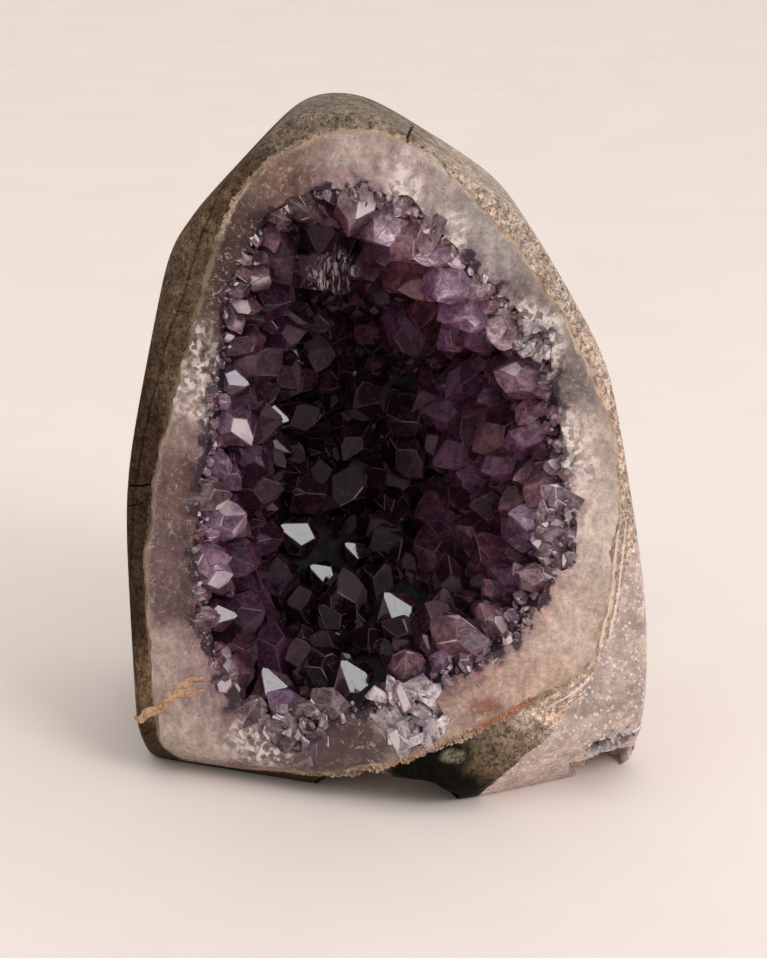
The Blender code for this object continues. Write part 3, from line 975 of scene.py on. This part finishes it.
@dataclass(frozen=True)
class Scatter:
    """Shapes grown over a surface by Geometry Nodes, each with its own size, lean and turn."""

    name: str
    shape: Union[CrystalShape, ShardShape]
    spacing: float
    density: float  # how many are tried in each square millimetre
    sizes: tuple[float, float]
    lean: float  # degrees
    seed: int
    kinds: int = 10

    def stock(self) -> bpy.types.Collection:
        """The different shapes that are grown."""
        rng = np.random.default_rng(self.seed)
        made = bpy.data.collections.new(self.name + "_stock")
        for number in range(self.kinds):
            bm = self.shape.mesh(rng)
            mesh = bpy.data.meshes.new(f"{self.name}_{number}")
            bm.to_mesh(mesh)
            bm.free()
            made.objects.link(bpy.data.objects.new(mesh.name, mesh))
        return made

    def tree(self) -> bpy.types.NodeTree:
        """The node tree: spread points, set a shape on each, lean it, and make it all one mesh."""
        group = bpy.data.node_groups.new("grow_" + self.name, "GeometryNodeTree")
        for name, kind in GROWTH_INPUTS.items():
            group.interface.new_socket(name, in_out="INPUT", socket_type="NodeSocket" + kind)
        group.interface.new_socket("Geometry", in_out="OUTPUT", socket_type="NodeSocketGeometry")
        tree = Tree(group)
        given = tree.add("NodeGroupInput").outputs
        coverage = tree.out("GeometryNodeInputNamedAttribute", {"Name": "coverage"}, data_type="FLOAT")
        spread = tree.add("GeometryNodeDistributePointsOnFaces", {
            "Mesh": given["Geometry"], "Distance Min": given["Spacing"], "Density Max": given["Density"],
            "Density Factor": coverage, "Seed": given["Seed"],
        }, distribute_method="POISSON")
        shapes = tree.out("GeometryNodeCollectionInfo", {
            "Collection": given["Shapes"], "Separate Children": True, "Reset Children": True,
        })
        pick = tree.chance(0, self.kinds - 1, 1, "INT")
        size = tree.chance(given["Least Size"], given["Largest Size"], 2)
        growth = tree.out("GeometryNodeInputNamedAttribute", {"Name": "growth"}, data_type="FLOAT")
        size = tree.times(size, growth)
        grown = tree.out("GeometryNodeInstanceOnPoints", {
            "Points": spread.outputs["Points"], "Instance": shapes, "Pick Instance": True,
            "Instance Index": pick, "Rotation": spread.outputs["Rotation"], "Scale": size,
        })
        tilt = tree.chance((-1.0, -1.0, 0.0), (1.0, 1.0, 0.0), 3, "FLOAT_VECTOR")
        tilt = tree.out("ShaderNodeVectorMath", {0: tilt, "Scale": given["Lean"]}, operation="SCALE")
        grown = tree.out("GeometryNodeRotateInstances", {"Instances": grown, "Rotation": tilt})
        spin = tree.chance((0.0, 0.0, 0.0), (0.0, 0.0, 2 * math.pi), 4, "FLOAT_VECTOR")
        grown = tree.out("GeometryNodeRotateInstances", {"Instances": grown, "Rotation": spin})
        grown = tree.out("GeometryNodeStoreNamedAttribute", {
            "Geometry": grown, "Name": "tone", "Value": tree.chance(0.0, 1.0, 5),
        }, data_type="FLOAT", domain="INSTANCE")
        real = tree.out("GeometryNodeRealizeInstances", {"Geometry": grown})
        dressed = tree.out("GeometryNodeSetMaterial", {"Geometry": real, "Material": given["Finish"]})
        tree.add("NodeGroupOutput", {"Geometry": dressed})
        return group

    def grow(self, surface: Object, finish: Material) -> Object:
        """Grows the shapes over a surface, which is used up.

        Args:
            surface: A mesh with a coverage and a growth number for each point.
            finish: The shapes' material.

        Returns:
            One mesh object with a tone for each shape.
        """
        stock = self.stock()
        group = self.tree()
        modifier = surface.modifiers.new(self.name, "NODES")
        modifier.node_group = group
        values = {
            "Spacing": self.spacing * MM, "Density": self.density / MM ** 2, "Least Size": self.sizes[0],
            "Largest Size": self.sizes[1], "Lean": math.radians(self.lean), "Seed": self.seed,
            "Shapes": stock, "Finish": finish,
        }
        for item in group.interface.items_tree:
            if item.in_out == "INPUT" and item.name in values:
                modifier[item.identifier] = values[item.name]
        surface.update_tag()
        made = baked(self.name, surface)
        for old in list(stock.objects):
            bpy.data.objects.remove(old, do_unlink=True)
        bpy.data.collections.remove(stock)
        return made


def keep_behind(mesh: Mesh, limit: Form) -> None:
    """Moves points that stand out of a form back onto its surface."""
    places = points_of(mesh)
    value = limit.value(places)
    centre = np.array(limit.centre)
    back = centre + (places - centre) / np.maximum(value, 1)[:, None]
    back[:, 2] = np.maximum(back[:, 2], BASE_GAP)
    move_points(mesh, back)


EDGE_FACE_SHARE = 0.022  # a narrower face, by area over its outline's square, is part of a bevelled edge and gets a painted highlight


def mark_crystals(mesh: Mesh, seed: int) -> None:
    """Stores each point's depth behind the ground face, each face's chance number, and the narrow faces of
    the bevelled edges, which get a painted highlight.
    """
    store(mesh, "face_depth", OUTSIDE.depth(points_of(mesh)))
    rng = np.random.default_rng(seed)
    count = len(mesh.polygons)
    store(mesh, "facet", rng.uniform(0, 1, count), "FACE")
    ends, edges = np.empty(2 * len(mesh.edges), np.int32), np.empty(len(mesh.loops), np.int32)
    areas, starts = np.empty(count, np.float32), np.empty(count, np.int32)
    mesh.edges.foreach_get("vertices", ends)
    mesh.loops.foreach_get("edge_index", edges)
    mesh.polygons.foreach_get("area", areas)
    mesh.polygons.foreach_get("loop_start", starts)
    tips = points_of(mesh)[ends.reshape(-1, 2)] * MM
    outlines = np.add.reduceat(np.linalg.norm(tips[:, 0] - tips[:, 1], axis=1)[edges], starts)
    store(mesh, "worn", (areas < EDGE_FACE_SHARE * outlines ** 2).astype(float), "FACE")


# ---------------------------------------------------------------- sub-assemblies


@dataclass
class Break:
    """A place where the ground face is broken open: a shallow pit full of crystal ends."""

    place: tuple[float, float]  # width and height on the ground face
    half_sizes: Triple
    shade: Shade
    sizes: tuple[float, float]
    seed: int

    def pit(self) -> BMesh:
        """The pit's rough shape, for cutting it and for growing crystals over its wall."""
        return rough_ball(OUTSIDE.front(*self.place), self.half_sizes, [Ripple(0.3, 0.7, self.seed)], 5)


def on_outside(places: Sequence[Triple]) -> np.ndarray:
    """Places moved along their rays from the middle onto the ground outside."""
    away = np.array(places, dtype=float) - np.array(OUTSIDE.centre)
    return OUTSIDE.surface(away / np.linalg.norm(away, axis=1)[:, None])


STRIP_STEPS = 8  # rings for each leg of a strip's path


def strip(places: Sequence[Triple], section: Sequence[tuple[float, float]], widths: Sequence[float],
          wander: Ripple) -> BMesh:
    """A closed bar that follows a path over the ground outside.

    Args:
        places: The path, roughly.
        section: The bar's outline: across, as a share of its width, and out of the stone.
        widths: The bar's width at each place.
        wander: How the bar strays and how its outline varies.

    Returns:
        The bar as a bmesh in metres.
    """
    legs = len(places) - 1
    steps = np.linspace(0, legs, STRIP_STEPS * legs + 1)
    track = np.stack([np.interp(steps, range(legs + 1), column) for column in np.array(places).T], axis=1)
    width = np.interp(steps, range(len(widths)), widths)
    track = on_outside(track)
    bm = bmesh.new()
    rings = []
    for k, place in enumerate(track):
        out = OUTSIDE.outward(place)
        along = Vector(track[min(k + 1, len(track) - 1)] - track[max(k - 1, 0)]).normalized()
        across = out.cross(along).normalized()
        stray = wander.height * noise.noise(Vector(place) / wander.breadth)
        ring = []
        for number, (side, height) in enumerate(section):
            shift = Vector((number * 3.1, 0, 0))
            rough = 1 + 0.35 * noise.noise(Vector(place) / wander.breadth * 2 + shift)
            spot = Vector(place) + across * (side * width[k] * rough + stray) + out * height * rough
            ring.append(bm.verts.new(spot * MM))
        rings.append(ring)
    for ring, following in zip(rings, rings[1:]):
        for k in range(len(section)):
            n = (k + 1) % len(section)
            bm.faces.new((ring[k], ring[n], following[n], following[k]))
    bm.faces.new(rings[0])
    bm.faces.new(rings[-1])
    bmesh.ops.triangulate(bm, faces=bm.faces[:])
    bmesh.ops.recalc_face_normals(bm, faces=bm.faces[:])
    return bm


def seam_place(angle: float) -> Triple:
    """Where the seam comes out on the ground face, at an angle round the middle from +X toward +Z."""

    def spot(reach: float) -> Vector:
        """The place on the ground face at a distance from the middle."""
        return OUTSIDE.front(MIDDLE[0] + reach * math.cos(angle), MIDDLE[2] + reach * math.sin(angle))

    return tuple(spot(last_within(10.0, 90.0, 0.05, lambda reach: SEAM.value(np.array(spot(reach)))[0] < 1)))


@dataclass(frozen=True)
class SeamCrust:
    """Crusty beads that stand out along one stretch of the seam."""

    angles: tuple[float, float]  # degrees round the middle
    widths: tuple[float, float]
    sizes: tuple[float, float]
    seed: int

    def build(self, finish: Material) -> None:
        """Grows and dresses the beads."""
        path = [seam_place(math.radians(a)) for a in np.linspace(*self.angles, 14)]
        widths = np.linspace(*self.widths, len(path))
        section = ((-0.5, -0.1), (0.5, -0.1), (0.5, 0.0), (-0.5, 0.0))
        ribbon = object_of("crust_ribbon", strip(path, section, widths, Ripple(0.8, 3.0)))
        ready(ribbon.data, 1)
        mean = sum(self.sizes) / 2
        run = Scatter(f"seam_crust_{self.seed}", ShardShape(flatness=0.5), spacing=mean * 0.8,
                      density=0.9 / mean ** 2, sizes=self.sizes, lean=60, seed=self.seed)
        piece = run.grow(ribbon, finish)
        keep_behind(piece.data, OUTSIDE.grown(0.45))
        settle(piece, finish)


@dataclass(frozen=True)
class Crack:
    """An open crack in the ground basalt."""

    path: tuple
    width: float
    depth: float

    def groove(self) -> BMesh:
        """The cutter that opens it."""
        widths = [0.7 * self.width] + [self.width] * (len(self.path) - 2) + [0.25 * self.width]
        return strip(self.path, ((-0.5, 0.8), (0.5, 0.8), (0.0, -self.depth)), widths, Ripple(0.35, 2.0))


@dataclass(frozen=True)
class Chip:
    """A piece broken off the stone: a rough scoop."""

    centre: Triple
    axes: Triple
    roughness: float
    start: float

    def scoop(self) -> BMesh:
        """The cutter that takes it off."""
        coarse = Ripple(self.roughness, 0.4, self.start)
        fine = Ripple(self.roughness * 0.6, 0.14, self.start + 2)
        return rough_ball(self.centre, self.axes, (coarse, fine), 6)


@dataclass
class ClayVein:
    """The forked tan vein at lower left, which stands a little proud of the stone."""

    main: tuple = (
        (-53.6, -26, 12.4), (-50, -28, 15.6), (-45.3, -30, 19.0), (-41, -31, 22.4), (-38, -31, 24.6),
    )
    fork: tuple = ((-43.5, -30, 20.4), (-40.5, -31, 20.6), (-38, -31.5, 21.6))
    section: tuple = (
        (-0.5, -1.6), (0.5, -1.6), (0.5, 0.05), (0.3, 0.5), (-0.05, 0.7), (-0.32, 0.45), (-0.5, 0.05),
    )

    def build(self) -> None:
        """Makes and dresses the vein."""
        bm = strip(self.main, self.section, (1.0, 1.9, 2.1, 1.8, 0.7), Ripple(0.9, 4.0))
        branch = strip(self.fork, self.section, (1.5, 1.2, 0.5), Ripple(0.5, 3.0))
        part = bpy.data.meshes.new("branch")
        branch.to_mesh(part)
        branch.free()
        bm.from_mesh(part)
        bpy.data.meshes.remove(part)
        piece = object_of("clay_vein_visible", bm)
        shade(piece.data, 50)
        settle(piece, ClayFinish().build(), ["clay_vein"])


@dataclass
class Stone:
    """The layers of the stone, each cut from the whole ground stone by the same surfaces."""

    seam_thickness: float = 0.5
    seam_ripples: tuple = (Ripple(1.3, 7.0), Ripple(0.6, 2.4, 5.0))
    seam_inside_ripples: tuple = (Ripple(1.3, 7.0), Ripple(0.6, 2.4, 5.0), Ripple(0.75, 1.6, 8.0))
    lobe_ripples: tuple = (Ripple(1.2, 9.0, 3.0), Ripple(0.5, 2.5, 4.0))
    hollow_ripples: tuple = (Ripple(2.6, 9.0, 2.0), Ripple(1.4, 3.2, 6.0))
    # the scoop under the quartz lip: centre, half sizes, unevenness and detail
    notch: tuple = ((-2.0, -46, -2.5), (18, 27, 11.5), (Ripple(0.12, 0.5, 7.0),), 5)
    breaks: tuple = (
        Break((4, 21), (8.5, 3.2, 5.6), Shade.PALE, (1.1, 3.2), 31),
        Break((-20, 15.5), (7.5, 2.8, 5), Shade.AMETHYST, (1.0, 2.8), 32),
        Break((29.5, 96), (3.4, 2.4, 3.2), Shade.PALE, (0.6, 1.8), 33),
        Break((34, 57), (4.2, 4, 7), Shade.AMETHYST, (0.8, 2.2), 34),
        Break((47, 12), (7, 5, 3.6), Shade.MILKY, (0.7, 1.9), 35),
    )
    cracks: tuple = (
        Crack(((5.2, -2, 139), (4.6, -12, 137.5), (4.2, -18, 136), (3.9, -22, 134), (3.5, -25, 132),
               (3.0, -28, 129.6)), 0.85, 3.0),
        Crack(((-56, -8, 61), (-53, -17, 62), (-50, -22, 63.4), (-46.4, -24, 64.2)), 0.8, 1.6),
        Crack(((-54, -14, 57.4), (-51, -21, 58.8), (-48, -23, 60.6)), 0.6, 1.2),
        Crack(((-52.6, -18, 82), (-50.5, -19.5, 70), (-51.5, -20, 63)), 0.45, 0.9),
    )
    chips: tuple = (
        Chip((46, -40, -4), (10.5, 29, 13), 0.3, 1.0),
        Chip((56, -20, 31), (5.0, 9, 10), 0.25, 3.0),
        Chip((-55, -30, -1), (10, 12, 6), 0.2, 5.0),
        Chip((28, -47, 1.5), (8, 4, 6), 0.3, 8.0),
    )
    cutters: dict = field(default_factory=dict)

    def prepare(self) -> None:
        """Makes the surfaces that part the layers."""
        shapes = {
            "seam": form_mesh(SEAM, self.seam_ripples),
            "seam_inside": form_mesh(SEAM.grown(-self.seam_thickness), self.seam_inside_ripples),
            "lobe": form_mesh(LOBE_LIMIT, self.lobe_ripples, 6),
            "hollow": form_mesh(HOLLOW, self.hollow_ripples),
            "notch": rough_ball(*self.notch),
        }
        shapes.update({f"crack_{number}": crack.groove() for number, crack in enumerate(self.cracks)})
        shapes.update({f"chip_{number}": chip.scoop() for number, chip in enumerate(self.chips)})
        shapes.update({f"break_{number}": place.pit() for number, place in enumerate(self.breaks)})
        for name, bm in shapes.items():
            self.cutters[name] = object_of("cutter_" + name, bm)

    def layer(self, name: str, inside: Sequence[str], removed: Sequence[str]) -> Object:
        """One layer of the stone, with its distances to the seam, the hollow and the ground face stored.

        Args:
            name: The layer's name.
            inside: The cutters that it lies inside.
            removed: The cutters that are taken away from it.

        Returns:
            The layer, smooth but for its sharp edges.
        """
        cuts = [("INTERSECT", self.cutters[cutter]) for cutter in inside]
        cuts += [("DIFFERENCE", self.cutters[cutter]) for cutter in removed]
        made = carved(name, cut_stone(), cuts)
        places = points_of(made.data)
        store(made.data, "seam_depth", SEAM.depth(places))
        store(made.data, "hollow_gap", -HOLLOW.depth(places))
        store(made.data, "face_depth", OUTSIDE.depth(places))
        shade(made.data, 32)
        return made

    def build(self) -> None:
        """Makes and dresses every layer."""
        self.prepare()
        cracks, chips, pits = (
            [name for name in self.cutters if name.startswith(kind)] for kind in ("crack", "chip", "break")
        )
        basalt = self.layer("basalt_shell", ["lobe"], ["seam", "notch"] + chips + cracks)
        settle(basalt, BasaltFinish().build(), ["basalt_rind"])
        agate = self.layer("agate_seam", ["seam"], ["seam_inside"] + chips)
        settle(agate, SeamFinish().build(), ["chalcedony_seam"])
        quartz = self.layer("quartz_body", ["seam_inside"], ["hollow"] + pits + chips)
        settle(quartz, QuartzFinish().build(), ["quartz_lining", "druse_bed"])
        lobe = self.layer("side_lobe", [], ["lobe"] + chips + pits)
        settle(lobe, GrainyQuartzFinish().build(), ["side_quartz"])
        for cutter in self.cutters.values():
            bpy.data.objects.remove(cutter, do_unlink=True)


@dataclass
class AmethystPoints:
    """The large crystals: the CAD points with bevelled edges, whose narrow faces get a painted highlight."""

    edge: float = 0.14
    count: int = 46
    mirrors: tuple = (3, 4, 5, 6, 7, 8, 9, 10, 11, 12, 15)  # those with a face turned to the key light

    def build(self, finish: Material, mirror: Material) -> None:
        """Makes and dresses every large crystal.

        Args:
            finish: The crystals' material.
            mirror: The material of those with mirror-bright faces.
        """
        rng = np.random.default_rng(5)
        for number in range(1, self.count + 1):
            node = f"amethyst_point_{number:02d}"
            bm = bmesh.new()
            bm.from_mesh(frame["nodes"][node].data)
            bmesh.ops.remove_doubles(bm, verts=bm.verts[:], dist=0.01 * MM)
            bmesh.ops.dissolve_limit(bm, angle_limit=math.radians(2), verts=bm.verts[:], edges=bm.edges[:])
            bmesh.ops.bevel(bm, geom=bm.edges[:], offset=self.edge * MM, segments=2, profile=0.7,
                            affect="EDGES", clamp_overlap=True)
            bmesh.ops.recalc_face_normals(bm, faces=bm.faces[:])
            piece = object_of(f"amethyst_crystal_{number:02d}", bm)
            mark_crystals(piece.data, 100 + number)
            store(piece.data, "tone", np.full(len(piece.data.vertices), rng.uniform(0.1, 0.9)))
            settle(piece, mirror if number in self.mirrors else finish, [node])


@dataclass
class Druse:
    """The carpet of smaller crystals over the hollow's wall."""

    # each run with its band of depths behind the ground face
    runs: tuple = (
        (Scatter("druse_large", CrystalShape(stem=1.1, edge=0.045),
                 spacing=6.5, density=0.035, sizes=(2.6, 4.8), lean=34, seed=41), (0.4, 90)),
        (Scatter("druse_medium", CrystalShape(stem=1.0, edge=0.05),
                 spacing=3.8, density=0.12, sizes=(1.3, 2.8), lean=42, seed=42), (0.4, 90)),
        (Scatter("druse_small", CrystalShape(stem=0.9),
                 spacing=2.1, density=0.45, sizes=(0.6, 1.5), lean=46, seed=43), (0.4, 90)),
        (Scatter("druse_splinters", CrystalShape(stem=1.6, unevenness=0.5),
                 spacing=1.5, density=0.7, sizes=(0.35, 0.95), lean=55, seed=44), (0.2, 9)),
    )
    face_margin: float = 0.25  # how far the crystals may stand out of the ground face
    clear_of: tuple = AmethystPoints.mirrors  # the points that stay uncovered
    clearance: float = 0.44  # room left round them, as a share of their diagonal
    growth: tuple = ((0, 4, 16), (0.36, 0.62, 1.06))  # depths behind the ground face, and the sizes there

    def wall(self, band: tuple[float, float]) -> Object:
        """The hollow's wall between two depths behind the ground face, facing the hollow."""
        bm = form_mesh(HOLLOW, (), 6)
        bmesh.ops.reverse_faces(bm, faces=bm.faces[:])
        made = object_of("hollow_wall", bm)
        places = points_of(made.data)
        depth = OUTSIDE.depth(places)
        covered = (depth > band[0]) & (depth < band[1])
        for number in self.clear_of:
            low, high = (np.array(corner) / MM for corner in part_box(f"amethyst_point_{number:02d}"))
            room = np.linalg.norm(high - low) * self.clearance
            covered &= np.linalg.norm(places - (low + high) / 2, axis=1) > room
        ready(made.data, covered, np.interp(depth, *self.growth))
        return made

    def build(self, finish: Material) -> None:
        """Grows and dresses every run of crystals."""
        for run, band in self.runs:
            piece = run.grow(self.wall(band), finish)
            keep_behind(piece.data, OUTSIDE.grown(self.face_margin))
            mark_crystals(piece.data, run.seed)
            settle(piece, finish)


@dataclass
class BrokenEnds:
    """The crystal ends that fill the broken places in the ground face."""

    breaks: tuple
    finishes: dict

    def build(self) -> None:
        """Grows and dresses the ends in each broken place."""
        for number, place in enumerate(self.breaks, start=1):
            bm = place.pit()
            bmesh.ops.reverse_faces(bm, faces=bm.faces[:])
            wall = object_of("pit_wall", bm)
            ready(wall.data, OUTSIDE.depth(points_of(wall.data)) > 0.1)
            mean = sum(place.sizes) / 2
            run = Scatter(f"broken_ends_{number}", ShardShape(flatness=0.9), spacing=mean * 0.7,
                          density=2.4 / mean ** 2, sizes=place.sizes, lean=60, seed=place.seed, kinds=16)
            piece = run.grow(wall, self.finishes[place.shade])
            keep_behind(piece.data, OUTSIDE.grown(0.3))
            mark_crystals(piece.data, place.seed)
            settle(piece, self.finishes[place.shade])


# ---------------------------------------------------------------- studio


@dataclass
class Studio:
    """The floor, the soft light and the camera."""

    target: Triple = (-1.02, -3.06, 58.5)
    distance: float = 482.0
    elevation: float = 18.0
    lens: float = 85.0
    floor_radius: float = 6000.0
    key_direction: Triple = (0.545, -0.609, 0.574)
    key_distance: float = 1500.0
    key_size: float = 560.0
    key_power: float = 7.0
    key_colour: Triple = (0.98, 0.995, 1.01)
    sky_colour: Triple = (1.0, 0.965, 0.935)
    sky_level: float = 0.3  # near the horizon, at left and behind the camera
    sky_top: float = 0.56  # added overhead
    sky_right: float = 0.28  # added at right

    def floor(self) -> None:
        """A wide pale floor."""
        bm = bmesh.new()
        bmesh.ops.create_circle(bm, cap_ends=True, radius=self.floor_radius * MM, segments=96)
        floor = object_of("floor", bm)
        shader = Shader("pale_floor")
        mottle = shader.clouds(0.985, 1.015, 60, 3)
        colour = shader.scaled(srgb(246, 235, 228), mottle)
        floor.data.materials.append(shader.finish(colour, 0.75, Specular_IOR_Level=0.15))

    def light(self) -> None:
        """An even pale room and one large soft lamp at upper right."""
        scene = bpy.context.scene
        scene.world = bpy.data.worlds.new("pale_room")
        scene.world.use_nodes = True
        tree = Tree(scene.world.node_tree)
        way = tree.add("ShaderNodeTexCoord").outputs["Generated"]
        parts = tree.add("ShaderNodeSeparateXYZ", {0: way}).outputs
        level = self.sky_level
        for axis, low, high, most in (("Z", 0.0, 0.7, self.sky_top), ("X", -0.2, 0.9, self.sky_right)):
            rise = tree.out("ShaderNodeMapRange", {
                "Value": parts[axis], "From Min": low, "From Max": high, "To Max": most,
            }, interpolation_type="SMOOTHSTEP")
            level = tree.plus(rise, level)
        background = scene.world.node_tree.nodes["Background"].inputs
        tree.feed(background["Strength"], level)
        tree.feed(background["Color"], (*self.sky_colour, 1))
        lamp = bpy.data.lights.new("soft_key", "AREA")
        lamp.energy = self.key_power
        lamp.size = self.key_size * MM
        lamp.color = self.key_colour
        key = bpy.data.objects.new("soft_key", lamp)
        scene.collection.objects.link(key)
        direction = Vector(self.key_direction).normalized()
        key.location = Vector(self.target) * MM + direction * self.key_distance * MM
        key.rotation_euler = direction.to_track_quat("Z", "Y").to_euler()

    def camera(self) -> None:
        """The camera, a little above, looking at the middle of the stone."""
        data = bpy.data.cameras.new("camera")
        data.lens = self.lens
        made = bpy.data.objects.new("camera", data)
        bpy.context.scene.collection.objects.link(made)
        tilt = math.radians(self.elevation)
        back = Vector((0, -math.cos(tilt), math.sin(tilt))) * self.distance
        made.location = (Vector(self.target) + back) * MM
        made.rotation_euler = (math.pi / 2 - tilt, 0, 0)
        bpy.context.scene.camera = made

    def build(self) -> None:
        """Sets everything up."""
        self.floor()
        self.light()
        self.camera()
        bpy.context.scene.view_settings.view_transform = "Standard"


def main() -> None:
    """Builds the geode in order, then the studio."""
    logging.basicConfig(level=logging.INFO, format="%(name)s: %(message)s")
    stone = Stone()
    stone.build()
    ClayVein().build()
    crust = SeamFinish("crusty_agate", cream=srgb(184, 160, 138), tan=srgb(118, 94, 76)).build()
    for stretch in (
        SeamCrust((252, 292), (0.9, 1.6), (0.12, 0.55), 51),
        SeamCrust((292, 322), (1.6, 0.7), (0.12, 0.5), 52),
        SeamCrust((104, 124), (0.5, 0.9), (0.1, 0.4), 53),
    ):
        stretch.build(crust)
    amethyst = CrystalFinish("amethyst", glows=GLOWS).build()
    mirror = CrystalFinish("mirror_amethyst", gloss=0.5, glows=GLOWS).build()
    AmethystPoints().build(amethyst, mirror)
    Druse().build(amethyst)
    finishes = {
        Shade.AMETHYST: amethyst,
        Shade.PALE: CrystalFinish("pale_crystal", Shade.PALE, contrast=0.7, gloss=0.3, reach=9).build(),
        Shade.MILKY: CrystalFinish("milky_crystal", Shade.MILKY, contrast=0.5, gloss=0.3, reach=9).build(),
    }
    BrokenEnds(stone.breaks, finishes).build()
    Studio().build()
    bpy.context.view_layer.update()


if __name__ == "__main__":
    main()
